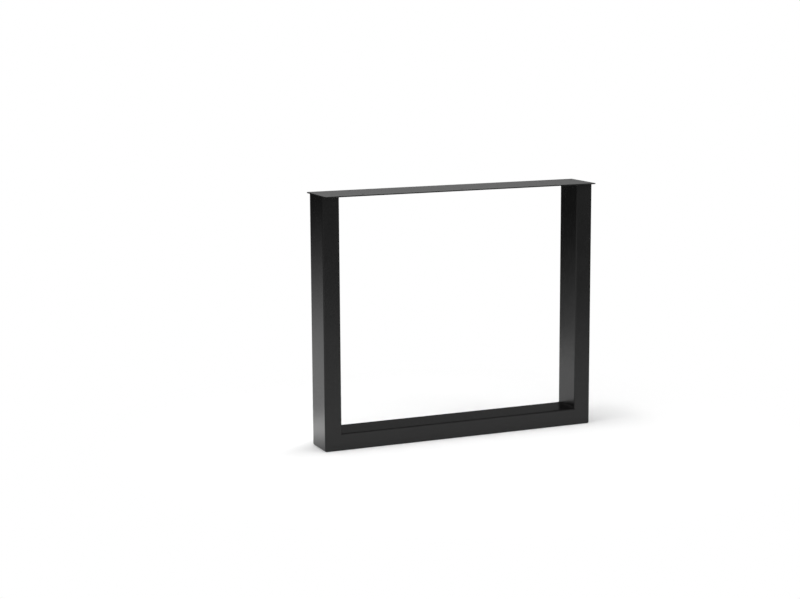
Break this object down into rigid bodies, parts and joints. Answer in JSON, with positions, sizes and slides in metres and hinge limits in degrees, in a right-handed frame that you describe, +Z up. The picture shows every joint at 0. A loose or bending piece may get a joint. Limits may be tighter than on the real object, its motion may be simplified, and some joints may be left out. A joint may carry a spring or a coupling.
{
  "type": "u shaped table leg",
  "caption": "U shaped table leg welded from rectangular steel tube, with ground mitre corners, a flat top plate with screw holes and a satin black powder coat.",
  "frame": {"origin": "on the floor, under the middle of the leg", "axes": "+X along the leg's width, +Y along its depth from front to back, +Z up to the table top"},
  "size_m": [0.84, 0.145, 0.72],
  "materials": {
    "powder_coat": "satin black powder coat"
  },
  "bodies": {
    "root": {"left_upright": "powder_coat", "right_upright": "powder_coat", "bottom_rail": "powder_coat", "top_plate": "powder_coat"}
  },
  "joints": []
}
